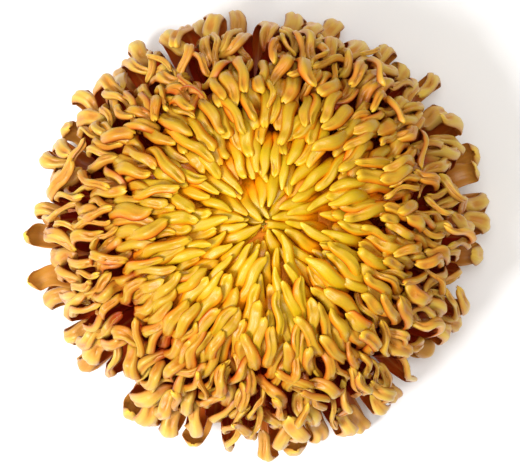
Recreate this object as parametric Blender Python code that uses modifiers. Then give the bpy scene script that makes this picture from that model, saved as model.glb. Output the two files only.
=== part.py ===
"""A fully double, incurved chrysanthemum head, cut with a short stub of stem and lying face up.

The origin is the middle of the cut stem face and +Z points out of the face of the flower.
Lengths are millimetres and angles are degrees up to the point where a mesh is made, in metres.
"""

import math

import bmesh
import bpy
import numpy as np
from mathutils import kdtree

MM = 0.001
SEED = 20

# Florets are numbered from the centre of the head to its rim, a golden angle apart.
FLORET_COUNT = 364
INNER_COUNT = 144
GOLDEN_ANGLE = 137.50776
SPIRAL_END = 0.96

# One column for each family of florets, from the centre to the rim. A floret's path lies in the upright
# plane through the head's axis and has a root, a bend and a tip, each with its direction: 0 degrees
# points outwards, 90 up and 180 inwards. Sway and kink turn its tip sideways.
FAMILIES = {
    "share": (0.0, 0.03, 0.14, 0.30, 0.50, 0.68, 0.84, 0.93, 1.0),
    "root_radius": (0.8, 2.8, 5.6, 7.9, 9.4, 10.6, 11.7, 12.1, 12.4),
    "root_height": (20.0, 19.6, 18.6, 17.2, 15.6, 13.9, 12.2, 11.6, 11.2),
    "root_angle": (86, 62, 52, 44, 36, 27, 16, 7, -4),
    "bend_radius": (5.0, 11.0, 21.0, 28.0, 32.6, 37.4, 42.3, 46.0, 49.0),
    "bend_height": (34.0, 38.0, 41.0, 40.5, 37.5, 33.3, 26.5, 18.5, 10.0),
    "bend_angle": (100, 112, 104, 98, 94, 90, 90, 90, 90),
    "tip_radius": (0.8, 2.0, 10.8, 18.6, 24.8, 30.2, 35.3, 39.5, 43.5),
    "tip_height": (41.0, 43.5, 46.5, 47.0, 45.2, 42.0, 36.5, 29.5, 18.0),
    "tip_angle": (125, 176, 176, 170, 163, 156, 150, 145, 150),
    "sway": (0.3, 0.6, 1.0, 1.3, 1.6, 2.2, 2.6, 2.2, 1.2),
    "kink": (0, 3, 6, 10, 16, 24, 28, 24, 14),
}
HANDLE = 0.42
PATH_NODES = 21
CURVE_SAMPLES = 61

# Places along a floret where its tip hooks inwards, kinks sideways and starts to sway
HOOK_FROM = 0.80
HOOK_TO = 0.94
KINK_FROM = 0.70
KINK_TO = 0.88
SWAY_FROM = 0.5
SWAY_POWER = 1.6
SWAY_CORE = 4.0

# Spread of the florets about their family: degrees of azimuth, aim and kink, and millimetres
SPREAD = {"azimuth": 3.0, "reach": 1.2, "rise": 0.6, "curl": 1.1, "aim": 9.0, "hook": 0.4, "sway": 0.6}
WAVE_KINK = 0.6

# Waves in the lean of neighbouring florets: radians for each millimetre east and north, and a phase
BROAD_EAST = (0.13, 0.6)
BROAD_NORTH = (0.11, -0.4)
FINE_WAVE = (0.09, 0.21, 2.0)
FINE_SHARE = 0.6

# Kinds of floret: half width and half depth at these places along the floret, and the hook of the tip
PLACES = (0.0, 0.3, 0.55, 0.70, 0.85, 0.95, 1.0)
KINDS = {
    "quill": ((0.50, 0.70, 0.95, 1.10, 1.15, 0.90, 0.40), (0.5, 0.6, 0.8, 0.9, 0.9, 0.7, 0.35), 0),
    "drop": ((0.50, 0.70, 0.95, 1.25, 1.50, 1.10, 0.45), (0.5, 0.6, 0.8, 0.9, 1.0, 0.7, 0.35), 8),
    "hood": ((0.55, 0.80, 1.15, 1.45, 1.95, 1.85, 1.15), (0.5, 0.6, 0.7, 0.8, 1.0, 0.9, 0.5), 35),
    "fold": ((0.50, 0.75, 0.95, 1.05, 1.05, 0.95, 0.55), (0.5, 0.7, 1.1, 1.3, 1.4, 1.1, 0.5), 20),
    "strap": ((0.90, 1.80, 2.40, 2.70, 2.70, 2.30, 1.20), (0.5, 0.5, 0.5, 0.55, 0.7, 0.7, 0.45), 20),
    "leaf": ((0.90, 1.80, 2.40, 2.70, 2.90, 2.70, 1.40), (0.5, 0.5, 0.5, 0.5, 0.5, 0.5, 0.4), 0),
}
QUILLS_END = 0.13
DROPS_END = 0.36
MIXED_FROM = 0.62
STRAPS_START = 0.86
HOODED_SHARE = 0.5

# Long florets that make the outline: azimuth, reach, height of the tip and its angle. Those whose tip
# doesn't point inwards are leaves that lie open.
RIM_FLORETS = (
    (2, 50.4, 17, 150), (8, 51.6, 11, 130), (15, 51.0, 17, 60), (22, 52.4, 12, 50),
    (33, 48.6, 20, 150), (41, 52.4, 17, 130), (48, 51.4, 10, 60), (54, 50.2, 16, 140),
    (70, 50.2, 12, 160), (79, 48.4, 18, 130), (95, 49.4, 12, 140), (103, 47.4, 18, 150),
    (123, 49.6, 15, 150), (131, 48.6, 9, 60), (142, 49.7, 18, 150), (152, 49.6, 12, 55),
    (159, 49.2, 18, 150), (174, 48.4, 18, 140), (181, 52.2, 10, 50), (190, 49.0, 14, 60),
    (197, 48.6, 13, 150), (209, 47.6, 17, 150), (217, 49.0, 9, 130), (236, 49.4, 14, 60),
    (246, 48.2, 19, 140), (254, 48.7, 11, 60), (274, 49.2, 16, 140), (280, 50.5, 8, 50),
    (287, 47.2, 17, 150), (298, 49.7, 10, 130), (310, 47.6, 17, 160), (327, 48.5, 11, 60),
    (336, 48.2, 18, 150), (355, 52.0, 11, 60),
)
RIM_SHARE = 0.98
RIM_STILL = 0.3
RIM_RISE = 6.0
RIM_CURL = 7.0
OPEN_UNDER = 90
OPEN_LENGTH = 9.0
OPEN_RISE = 4.0
OPEN_BEND = 25

# Settling of the florets against each other
SETTLE_ROUNDS = 40
PAIRS_EVERY = 5
CLEARANCE = 0.8
GIRTH = 0.75
PAIR_MARGIN = 0.6
PUSH = 0.65
EASE = 0.99
HELD_ROOT = 0.2
FREE_OVER = 0.3
TINY = 1e-6

# Rings along the part of a floret that stands out of the heart, and corners of its section
RING_STEPS = {
    "quill": (0.0, 0.6, 1.0),
    "drop": (0.0, 0.5, 0.8, 1.0),
    "hood": (0.0, 0.5, 0.8, 1.0),
    "fold": (0.0, 0.5, 0.8, 1.0),
    "strap": (0.0, 0.5, 0.85, 1.0),
    "leaf": (0.0, 0.5, 0.85, 1.0),
}
ROUND_CORNERS = ((-1.0, -0.7), (1.0, -0.7), (0.0, 1.2))
FLAT_KINDS = ("strap", "leaf")
STRAP_CORNERS = ((-1.0, -1.0), (1.0, -1.0), (0.6, 1.0), (-0.6, 1.0))

# Heart of the head, which carries the florets: radius at each height, from its foot to its top
HEART_HEIGHTS = (9.5, 13.0, 18.0, 24.0, 29.0, 33.0, 36.0, 37.5)
HEART_RADII = (14.5, 23.0, 29.0, 31.0, 29.5, 24.0, 14.0, 0.0)
HEART_SIDES = 14
HEART_RINGS = 5
SINK = 1.6

# Gap between the two groups of florets, and the most that a point is moved at once to clear it
SEAM = 1.2
SEAM_STEP = 3.0
SEAM_MARGIN = 0.6

# Cup of green bracts on the cut stem: radius and height down its outer side
CUP_PROFILE = (
    (0.0, 9.1), (12.6, 9.1), (13.2, 8.7), (10.5, 6.6), (6.4, 4.7),
    (4.3, 3.4), (3.8, 2.0), (4.0, 0.0), (0.0, 0.0),
)
CUP_SIDE = slice(2, 6)
CUP_SIDES = 14
BRACT_ROWS = ((9, 6.0, 10.6), (11, 8.8, 13.9))
BRACT_SHAPE = ((0.0, 0.75), (0.55, 1.0), (1.0, 0.3))
BRACT_HALF_WIDTH = 1.9
BRACT_HALF_THICKNESS = 0.4
BRACT_RISE = 0.6
BRACT_SINK = 0.15
MERGE = 0.00001

# The crown leans a little over its base, and the lowest florets stay off the surface below
LEAN = (2.2, 2.4)
LEAN_FROM = 12.0
LEAN_TO = 46.0
FLOOR_GAP = 0.2
DEEPEST = 1.2

# Colour of each node
COLOURS = {
    "inner_florets": (0.82, 0.52, 0.03),
    "outer_florets": (0.68, 0.34, 0.05),
    "involucre": (0.16, 0.24, 0.06),
}
ROUGHNESS = 0.5


def family_value(name, share):
    """Value of one row of the families at a share between the centre and the rim."""
    return float(np.interp(share, FAMILIES["share"], FAMILIES[name]))


def bezier(start, start_angle, end, end_angle, t):
    """Points of a curve that leaves one point and arrives at another in given directions."""
    handle = HANDLE * np.linalg.norm(end - start)
    near = start + handle * np.array((math.cos(start_angle), math.sin(start_angle)))
    far = end - handle * np.array((math.cos(end_angle), math.sin(end_angle)))
    return (1 - t) ** 3 * start + 3 * (1 - t) ** 2 * t * near + 3 * (1 - t) * t**2 * far + t**3 * end


def family_path(share, changes, count=PATH_NODES):
    """Radius and height of evenly spaced points on the path of one floret."""
    value = {name: family_value(name, share) + changes.get(name, 0.0) for name in FAMILIES}
    joints = ("root", "bend", "tip")
    places = [np.array((value[f"{joint}_radius"], value[f"{joint}_height"])) for joint in joints]
    angles = [math.radians(value[f"{joint}_angle"]) for joint in joints]
    t = np.linspace(0.0, 1.0, CURVE_SAMPLES)[:, None]
    lower = bezier(places[0], angles[0], places[1], angles[1], t)
    upper = bezier(places[1], angles[1], places[2], angles[2], t)
    curve = np.concatenate((lower, upper[1:]))
    steps = np.linalg.norm(np.diff(curve, axis=0), axis=1)
    length = np.concatenate(((0.0,), np.cumsum(steps)))
    wanted = np.linspace(0.0, length[-1], count)
    return np.stack([np.interp(wanted, length, curve[:, axis]) for axis in (0, 1)], axis=1)


def turned_steps(points, degrees, start, end):
    """Points whose steps turn by an angle that grows from one place along them to another."""
    steps = np.diff(points, axis=0)
    along = np.linspace(0.0, 1.0, len(steps))
    turn = np.radians(degrees) * np.clip((along - start) / (end - start), 0.0, 1.0)
    turned = steps.copy()
    turned[:, 0] = steps[:, 0] * np.cos(turn) - steps[:, 1] * np.sin(turn)
    turned[:, 1] = steps[:, 0] * np.sin(turn) + steps[:, 1] * np.cos(turn)
    return np.concatenate((points[:1], points[0] + np.cumsum(turned, axis=0)))


def rim_changes(reach, height, angle):
    """What sets a long floret of the rim apart from its family."""
    if angle < OPEN_UNDER:
        wanted = {
            "bend_radius": reach - OPEN_LENGTH,
            "bend_height": height - OPEN_RISE,
            "bend_angle": OPEN_BEND,
            "tip_radius": reach,
        }
    else:
        wanted = {
            "bend_radius": reach,
            "bend_height": height - RIM_RISE,
            "tip_radius": reach - RIM_CURL,
        }
    wanted.update({"tip_height": height, "tip_angle": angle})
    return {name: value - family_value(name, RIM_SHARE) for name, value in wanted.items()}


def floret_kind(share, draw):
    """Kind of a floret, from its place in the head and a draw between 0 and 1."""
    if share < QUILLS_END:
        return "quill"
    if share > STRAPS_START:
        return "strap"
    mixed = (share - DROPS_END) / (MIXED_FROM - DROPS_END)
    if draw > mixed:
        return "drop"
    return "hood" if draw < HOODED_SHARE * min(mixed, 1.0) else "fold"


def sway_wave(east, north):
    """Lean shared by florets that stand together, about -1.5 to 1.5."""
    broad = math.sin(BROAD_EAST[0] * east + BROAD_EAST[1]) * math.cos(BROAD_NORTH[0] * north + BROAD_NORTH[1])
    fine = math.sin(FINE_WAVE[0] * east + FINE_WAVE[1] * north + FINE_WAVE[2])
    return broad + FINE_SHARE * fine


def plan_florets():
    """Kind, azimuth, path, half widths and half depths of every floret before they settle."""
    rng = np.random.default_rng(SEED)
    along = np.linspace(0.0, 1.0, PATH_NODES)
    ramp = np.clip((along - SWAY_FROM) / (1.0 - SWAY_FROM), 0.0, 1.0) ** SWAY_POWER
    spiral_count = FLORET_COUNT - len(RIM_FLORETS)
    florets = []
    for index in range(FLORET_COUNT):
        reach, rise, aim, curl, turn, lean, kink = rng.normal(0.0, 1.0, 7)
        kind_draw = rng.random()
        if index < spiral_count:
            share = (index + 0.5) / spiral_count * SPIRAL_END
            azimuth = math.radians(index * GOLDEN_ANGLE + SPREAD["azimuth"] * turn)
            freedom = 1.0
            kind = floret_kind(share, kind_draw)
            changes = {
                "bend_radius": SPREAD["reach"] * reach,
                "bend_height": SPREAD["rise"] * rise,
                "tip_radius": SPREAD["reach"] * reach + SPREAD["curl"] * curl,
                "tip_height": SPREAD["rise"] * rise,
                "tip_angle": SPREAD["aim"] * aim,
            }
        else:
            share = RIM_SHARE
            degrees, bend, height, angle = RIM_FLORETS[index - spiral_count]
            kind = "leaf" if angle < OPEN_UNDER else "strap"
            azimuth = math.radians(degrees)
            freedom = RIM_STILL
            changes = rim_changes(bend, height, angle)
        widths, depths, hook = KINDS[kind]
        path = family_path(share, changes)
        path = turned_steps(path, hook * (1.0 + SPREAD["hook"] * aim), HOOK_FROM, HOOK_TO)
        radius, height = np.maximum(path[:, 0], 0.0), path[:, 1]
        wave = sway_wave(radius[-1] * math.cos(azimuth), radius[-1] * math.sin(azimuth))
        sway = freedom * family_value("sway", share) * (wave + SPREAD["sway"] * lean)
        heading = azimuth + sway * ramp / np.maximum(radius, SWAY_CORE)
        points = np.stack((radius * np.cos(heading), radius * np.sin(heading), height), axis=1)
        side_kink = freedom * family_value("kink", share) * (WAVE_KINK * wave + kink)
        florets.append({
            "kind": kind,
            "azimuth": azimuth,
            "points": turned_steps(points, side_kink, KINK_FROM, KINK_TO),
            "width": np.interp(along, PLACES, widths),
            "depth": np.interp(along, PLACES, depths),
        })
    return florets


def seam_curve():
    """Points and outward directions, in radius and height, of the surface between the two groups."""
    path = family_path(INNER_COUNT / (FLORET_COUNT - len(RIM_FLORETS)) * SPIRAL_END, {}, CURVE_SAMPLES)
    heading = path[-1] - path[-2]
    beyond = path[-1] + heading * np.arange(1, CURVE_SAMPLES // 2)[:, None]
    path = np.concatenate((path, beyond))
    along = np.gradient(path, axis=0)
    along /= np.linalg.norm(along, axis=1)[:, None]
    return path, np.stack((along[:, 1], -along[:, 0]), axis=1)


def clear_of_seam(points, size, inner):
    """Move points that come too near the surface between the two groups back to their own side."""
    path, normals = seam_curve()
    radius = np.hypot(points[:, 0], points[:, 1])
    flat = np.stack((radius, points[:, 2]), axis=1)
    nearest = np.argmin(np.linalg.norm(flat[:, None] - path[None], axis=2), axis=1)
    side = np.where(inner, -1.0, 1.0)
    distance = np.sum((flat - path[nearest]) * normals[nearest], axis=1) * side
    short = np.clip(size + 0.5 * SEAM - distance, 0.0, SEAM_STEP)
    move = (short * side)[:, None] * normals[nearest]
    outward = points[:, :2] / np.maximum(radius, TINY)[:, None]
    return np.concatenate((outward * move[:, :1], move[:, 1:]), axis=1)


def neighbour_pairs(points, owner, reach):
    """Pairs of path points of different florets that are near each other."""
    tree = kdtree.KDTree(len(points))
    for index, point in enumerate(points):
        tree.insert(point, index)
    tree.balance()
    pairs = []
    for index, point in enumerate(points):
        for _, other, _ in tree.find_range(point, reach):
            if other > index and owner[other] != owner[index]:
                pairs.append((index, other))
    return np.array(pairs).T


def settle(florets):
    """Push florets that touch apart, with their roots held and their curves kept smooth."""
    rest = np.stack([floret["points"] for floret in florets])
    size = [GIRTH * floret["width"] + (1.0 - GIRTH) * floret["depth"] for floret in florets]
    size = np.concatenate(size)
    count, nodes, _ = rest.shape
    owner = np.repeat(np.arange(count), nodes)
    inner = owner < INNER_COUNT
    along = np.linspace(0.0, 1.0, nodes)
    free = np.clip((along - HELD_ROOT) / FREE_OVER, 0.0, 1.0)[:, None]
    shift = np.zeros_like(rest)
    for turn in range(SETTLE_ROUNDS):
        now = (rest + shift).reshape(-1, 3)
        if turn % PAIRS_EVERY == 0:
            firsts, seconds = neighbour_pairs(now, owner, 2 * size.max() + PAIR_MARGIN)
        gap = now[seconds] - now[firsts]
        distance = np.linalg.norm(gap, axis=1)
        overlap = np.clip(size[firsts] + size[seconds] + CLEARANCE - distance, 0.0, None)
        push = (PUSH * overlap / np.maximum(distance, TINY))[:, None] * gap
        moved = np.zeros_like(now)
        hits = np.ones((len(now), 1))
        touching = (overlap > 0)[:, None]
        np.add.at(moved, firsts, -push)
        np.add.at(moved, seconds, push)
        np.add.at(hits, firsts, touching)
        np.add.at(hits, seconds, touching)
        moved = moved / hits + clear_of_seam(now, size, inner)
        shift = shift + moved.reshape(rest.shape) * free
        smooth = shift.copy()
        smooth[:, 1:-1] = (shift[:, :-2] + 2 * shift[:, 1:-1] + shift[:, 2:]) / 4
        smooth[:, -1] = (shift[:, -2] + 2 * shift[:, -1]) / 3
        shift = EASE * smooth * free
    for floret, points in zip(florets, rest + shift):
        lowest = FLOOR_GAP + DEEPEST * floret["depth"]
        points[:, 2] = np.maximum(points[:, 2], lowest)
        floret["points"] = points


def leaned(points):
    """Points moved sideways with the lean of the crown."""
    points = np.array(points, dtype=float)
    rise = np.clip((points[..., 2] - LEAN_FROM) / (LEAN_TO - LEAN_FROM), 0.0, None)
    points[..., 0] += LEAN[0] * rise
    points[..., 1] += LEAN[1] * rise
    return points


def floret_frames(points, azimuth):
    """Directions across a floret and out of its back at every point of its path."""
    along = np.gradient(points, axis=0)
    along /= np.linalg.norm(along, axis=1)[:, None]
    across = np.array((-math.sin(azimuth), math.cos(azimuth), 0.0))
    sides = []
    for direction in along:
        across = across - direction * np.dot(across, direction)
        across /= np.linalg.norm(across)
        sides.append(across)
    return np.array(sides), np.cross(sides, along)


def floret_rings(floret):
    """Rings of a floret from just inside the heart to its tip."""
    points = floret["points"]
    radius = np.hypot(points[:, 0], points[:, 1])
    inside = np.interp(points[:, 2], HEART_HEIGHTS, HEART_RADII, left=-1.0, right=-1.0) - radius
    last = int(np.nonzero(inside > 0)[0].max())
    along = np.linspace(0.0, 1.0, PATH_NODES)
    surface = along[last] + (along[1] - along[0]) * inside[last] / (inside[last] - inside[last + 1])
    length = np.linalg.norm(np.diff(points, axis=0), axis=1).sum()
    start = surface - SINK / length
    corners = STRAP_CORNERS if floret["kind"] in FLAT_KINDS else ROUND_CORNERS
    sides, backs = floret_frames(points, floret["azimuth"])
    rings = []
    for step in RING_STEPS[floret["kind"]]:
        place = start + (1.0 - start) * step
        centre, side, back = (
            np.array([np.interp(place, along, values[:, axis]) for axis in range(3)])
            for values in (points, sides, backs)
        )
        width = np.interp(place, along, floret["width"])
        depth = np.interp(place, along, floret["depth"])
        rings.append([centre + side * width * x + back * depth * y for x, y in corners])
    return rings


def bract_rings(azimuth, start, end):
    """Rings of one bract, which lies on the outside of the cup from one radius to another."""
    radii, heights = zip(*CUP_PROFILE[CUP_SIDE][::-1])
    outward = np.array((math.cos(azimuth), math.sin(azimuth), 0.0))
    across = np.array((-math.sin(azimuth), math.cos(azimuth), 0.0))
    rings = []
    for step, width in BRACT_SHAPE:
        radius = start + (end - start) * step
        height = np.interp(radius, radii, heights) - BRACT_SINK
        centre = outward * radius + np.array((0.0, 0.0, height))
        half = across * width * BRACT_HALF_WIDTH
        up = np.array((0.0, 0.0, BRACT_HALF_THICKNESS)) - outward * 0.5 * BRACT_HALF_THICKNESS
        rings.append([centre - half + BRACT_RISE * up, centre + half + BRACT_RISE * up, centre - up])
    return rings


def give_material(item):
    """Give an object the plain surface of its node."""
    surface = bpy.data.materials.new(f"{item.name}_surface")
    surface.use_nodes = True
    shader = surface.node_tree.nodes["Principled BSDF"]
    shader.inputs["Base Color"].default_value = (*COLOURS[item.name], 1.0)
    shader.inputs["Roughness"].default_value = ROUGHNESS
    shader.inputs["Metallic"].default_value = 0.0
    item.data.materials.clear()
    item.data.materials.append(surface)


def add_object(name, mesh, collection):
    """Put a mesh in a collection as an object."""
    result = bpy.data.objects.new(name, mesh)
    collection.objects.link(result)
    return result


def tube_mesh(name, rings):
    """Closed loft through rings of points, with its two ends capped."""
    form = bmesh.new()
    loops = [[form.verts.new(point) for point in leaned(ring) * MM] for ring in rings]
    sides = len(loops[0])
    for lower, upper in zip(loops, loops[1:]):
        for side in range(sides):
            following = (side + 1) % sides
            form.faces.new((lower[side], lower[following], upper[following], upper[side]))
    form.faces.new(loops[0][::-1])
    form.faces.new(loops[-1])
    bmesh.ops.triangulate(form, faces=form.faces)
    bmesh.ops.recalc_face_normals(form, faces=form.faces)
    mesh = bpy.data.meshes.new(name)
    form.to_mesh(mesh)
    form.free()
    return mesh


def applied(item):
    """Mesh of an object as its modifiers leave it."""
    graph = bpy.context.evaluated_depsgraph_get()
    return bpy.data.meshes.new_from_object(item.evaluated_get(graph))


def turned_object(name, profile, sides, collection):
    """Solid of revolution about +Z from a profile of radii and heights that runs down its outer side."""
    outline = bpy.data.meshes.new(name)
    points = [(radius * MM, 0.0, height * MM) for radius, height in profile]
    outline.from_pydata(points, [(place, place + 1) for place in range(len(points) - 1)], [])
    item = add_object(name, outline, collection)
    screw = item.modifiers.new("turn", "SCREW")
    screw.steps = sides
    screw.render_steps = sides
    screw.use_merge_vertices = True
    screw.merge_threshold = MERGE
    mesh = applied(item)
    item.modifiers.clear()
    item.data = mesh
    places = np.array([vertex.co for vertex in mesh.vertices])
    for vertex, place in zip(mesh.vertices, leaned(places / MM) * MM):
        vertex.co = place
    bpy.data.meshes.remove(outline)
    return item


def fuse(item, meshes):
    """Join meshes to an object in one union."""
    repeats = bpy.data.collections.new(item.name + "_repeats")
    bpy.context.scene.collection.children.link(repeats)
    for mesh in meshes:
        add_object(mesh.name, mesh, repeats)
    union = item.modifiers.new("union", "BOOLEAN")
    union.operation = "UNION"
    union.operand_type = "COLLECTION"
    union.collection = repeats
    union.solver = "MANIFOLD"
    mesh = applied(item)
    item.modifiers.clear()
    item.data = mesh
    for repeat in list(repeats.objects):
        bpy.data.objects.remove(repeat, do_unlink=True)
    bpy.data.collections.remove(repeats)


def heart_profiles():
    """Profiles of the inner and the outer part of the heart, on the two sides of the seam."""
    path, normals = seam_curve()
    within = np.interp(path[:, 1], HEART_HEIGHTS, HEART_RADII) > path[:, 0]
    count = int(np.argmin(within[:CURVE_SAMPLES]))
    chosen = np.linspace(0, count, HEART_RINGS).astype(int)
    inner_wall = [tuple(point) for point in path[chosen] - 0.5 * SEAM * normals[chosen]]
    outer_wall = [tuple(point) for point in path[chosen] + 0.5 * SEAM * normals[chosen]]
    surface = list(zip(HEART_RADII, HEART_HEIGHTS))
    above = [point for point in surface if point[1] > path[count, 1] + SEAM_MARGIN]
    below = [point for point in surface if point[1] < path[count, 1] - SEAM_MARGIN]
    foot = float(path[0, 1])
    inner = above[::-1] + inner_wall[::-1] + [(0.0, foot)]
    outer = [(0.0, foot - 2 * SEAM)] + outer_wall + below[::-1] + [(0.0, surface[0][1])]
    return inner, outer


def main():
    for item in list(bpy.data.objects):
        bpy.data.objects.remove(item, do_unlink=True)
    head = bpy.data.collections.new("chrysanthemum")
    bpy.context.scene.collection.children.link(head)

    florets = plan_florets()
    settle(florets)
    groups = {"inner_florets": florets[:INNER_COUNT], "outer_florets": florets[INNER_COUNT:]}
    for (name, group), profile in zip(groups.items(), heart_profiles()):
        heart = turned_object(name, profile, HEART_SIDES, head)
        meshes = [tube_mesh(f"{name}_{place}", floret_rings(floret)) for place, floret in enumerate(group)]
        fuse(heart, meshes)
        give_material(heart)

    cup = turned_object("involucre", CUP_PROFILE, CUP_SIDES, head)
    bracts = []
    for row, (count, start, end) in enumerate(BRACT_ROWS):
        for place in range(count):
            azimuth = 2 * math.pi * (place + 0.5 * row) / count
            bracts.append(tube_mesh(f"bract_{row}_{place}", bract_rings(azimuth, start, end)))
    fuse(cup, bracts)
    give_material(cup)


main()
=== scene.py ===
"""Looks of the chrysanthemum head: fine florets, heart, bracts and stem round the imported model.

Lengths are millimetres and angles are degrees up to the point where a mesh is made, in metres.
"""

import math

import bmesh
import bpy
import numpy as np
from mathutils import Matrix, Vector, kdtree


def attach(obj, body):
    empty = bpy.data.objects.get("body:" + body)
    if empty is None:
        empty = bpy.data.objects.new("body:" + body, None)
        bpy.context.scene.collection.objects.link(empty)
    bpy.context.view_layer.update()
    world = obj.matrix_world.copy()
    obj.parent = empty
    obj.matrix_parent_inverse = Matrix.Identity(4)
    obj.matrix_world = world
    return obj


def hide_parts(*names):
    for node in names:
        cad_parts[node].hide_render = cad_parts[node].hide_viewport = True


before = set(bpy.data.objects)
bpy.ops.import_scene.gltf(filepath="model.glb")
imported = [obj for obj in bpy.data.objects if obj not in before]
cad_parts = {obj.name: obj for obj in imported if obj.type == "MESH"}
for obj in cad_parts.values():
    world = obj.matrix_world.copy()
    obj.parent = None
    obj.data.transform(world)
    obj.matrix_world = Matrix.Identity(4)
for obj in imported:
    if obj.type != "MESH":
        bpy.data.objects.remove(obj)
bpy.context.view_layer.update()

MM = 0.001
SEED = 20

# Florets are numbered from the centre of the head to its rim, a golden angle apart.
FLORET_COUNT = 600
INNER_COUNT = 230
GOLDEN_ANGLE = 137.50776
SPIRAL_END = 0.96
SPIRAL_POWER = 0.92

# One column for each family of florets, from the centre to the rim. A floret's path lies in the upright
# plane through the head's axis and has a root, a bend and a tip, each with its direction: 0 degrees
# points outwards, 90 up and 180 inwards. Sway and kink turn its tip sideways.
FAMILIES = {
    "share": (0.0, 0.03, 0.14, 0.30, 0.50, 0.68, 0.84, 0.93, 1.0),
    "root_radius": (0.8, 2.8, 5.6, 7.9, 9.4, 10.6, 11.7, 12.1, 12.4),
    "root_height": (20.0, 19.6, 18.6, 17.2, 15.6, 13.9, 12.2, 11.6, 11.2),
    "root_angle": (86, 62, 52, 44, 36, 27, 16, 7, -4),
    "bend_radius": (5.0, 11.0, 21.0, 28.0, 32.6, 37.4, 42.3, 46.0, 49.0),
    "bend_height": (34.0, 38.0, 41.0, 40.5, 37.5, 33.3, 26.5, 18.5, 10.0),
    "bend_angle": (100, 112, 104, 98, 94, 90, 90, 90, 90),
    "tip_radius": (0.8, 2.0, 10.8, 19.2, 26.4, 32.0, 37.2, 41.2, 44.5),
    "tip_height": (41.0, 43.5, 46.5, 47.0, 45.2, 42.0, 36.5, 29.5, 18.0),
    "tip_angle": (125, 176, 176, 170, 163, 156, 150, 145, 150),
    "sway": (0.3, 0.6, 1.0, 1.3, 1.6, 2.2, 2.6, 2.2, 1.2),
    "kink": (0, 3, 6, 10, 16, 24, 28, 24, 14),
}
# Handles of a curve as a share of its span, points of a path, and samples of a curve
HANDLE = 0.42
PATH_NODES = 21
CURVE_SAMPLES = 61

# Places along a floret where its tip hooks inwards, kinks sideways and starts to sway
HOOK_FROM = 0.83
HOOK_TO = 0.955
KINK_FROM = 0.70
KINK_TO = 0.88
SWAY_FROM = 0.5
SWAY_POWER = 1.6
SWAY_CORE = 4.0

# Spread of the florets about their family: azimuth and aim in degrees, reach, rise and curl in
# millimetres, and shares of the hook and the sway. The kink follows a part of the wave below.
SPREAD = {"azimuth": 3.0, "reach": 1.2, "rise": 0.6, "curl": 1.1, "aim": 9.0, "hook": 0.4, "sway": 0.6}
WAVE_KINK = 0.6

# Waves in the lean of neighbouring florets: radians for each millimetre east and north, and a phase
BROAD_EAST = (0.13, 0.6)
BROAD_NORTH = (0.11, -0.4)
FINE_WAVE = (0.09, 0.21, 2.0)
FINE_SHARE = 0.6

# Kinds of floret: half width and half depth that they keep clear of their neighbours, at these places
# along them, and the hook of the tip in degrees
PLACES = (0.0, 0.3, 0.55, 0.70, 0.85, 0.95, 1.0)
KINDS = {
    "quill": ((0.50, 0.70, 0.95, 1.10, 1.15, 1.05, 0.60), (0.5, 0.6, 0.8, 0.9, 0.9, 0.7, 0.35), 0),
    "drop": ((0.50, 0.60, 0.70, 0.80, 1.05, 1.25, 0.75), (0.5, 0.6, 0.7, 0.8, 0.9, 0.7, 0.35), 8),
    "hood": ((0.50, 0.65, 0.75, 0.85, 1.15, 1.50, 0.95), (0.5, 0.6, 0.7, 0.8, 0.9, 0.8, 0.5), 35),
    "fold": ((0.50, 0.65, 0.72, 0.78, 0.90, 1.10, 0.65), (0.5, 0.6, 0.9, 1.1, 1.2, 1.0, 0.5), 20),
    "strap": ((0.90, 1.80, 2.40, 2.70, 2.70, 2.30, 1.20), (0.5, 0.5, 0.5, 0.55, 0.7, 0.7, 0.45), 20),
    "leaf": ((0.90, 1.80, 2.40, 2.70, 2.90, 2.70, 1.40), (0.5, 0.5, 0.5, 0.5, 0.5, 0.5, 0.4), 75),
}
# Shares of the way out: where the quills end, where hoods and folds start to mix with the drops, where the
# drops are gone, and where the straps start. Then the share of hoods, the rest being folds.
QUILLS_END = 0.16
MIXED_FROM = 0.36
DROPS_END = 0.62
STRAPS_START = 0.92
HOODED_SHARE = 0.5

# Long florets that make the outline: azimuth, reach, height of the tip and its angle. Those whose tip
# doesn't point inwards are leaves that lie open.
RIM_FLORETS = (
    (2, 50.4, 17, 150), (8, 51.6, 11, 130), (15, 51.0, 17, 60), (22, 52.4, 12, 50),
    (33, 48.6, 20, 150), (41, 52.4, 17, 130), (48, 51.4, 10, 60), (54, 50.2, 16, 140),
    (70, 50.2, 12, 160), (79, 48.4, 18, 130), (95, 49.4, 12, 140), (103, 47.4, 18, 150),
    (123, 49.6, 15, 150), (131, 48.6, 9, 60), (142, 49.7, 18, 150), (152, 49.6, 12, 55),
    (159, 49.2, 18, 150), (174, 48.4, 18, 140), (181, 52.2, 10, 50), (190, 49.0, 14, 60),
    (197, 48.6, 13, 150), (209, 47.6, 17, 150), (217, 49.0, 9, 130), (236, 49.4, 14, 60),
    (246, 48.2, 19, 140), (254, 48.7, 11, 60), (274, 49.2, 16, 140), (280, 50.5, 8, 50),
    (287, 47.2, 17, 150), (298, 49.7, 10, 130), (310, 47.6, 17, 160), (327, 48.5, 11, 60),
    (336, 48.2, 18, 150), (355, 52.0, 11, 60),
)
# Share at which they take their family, the part of its sway that they keep, and how far the bend of a
# curled one lies under its tip and the tip inside the bend
RIM_SHARE = 0.98
RIM_STILL = 0.3
RIM_RISE = 6.0
RIM_CURL = 5.5
# An open leaf has a tip angle under this. Its bend lies inside and under its reach, and it hooks back.
OPEN_UNDER = 90
OPEN_LENGTH = 9.0
OPEN_REACH = 2.0
OPEN_RISE = 4.0
OPEN_BEND = 25

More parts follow.
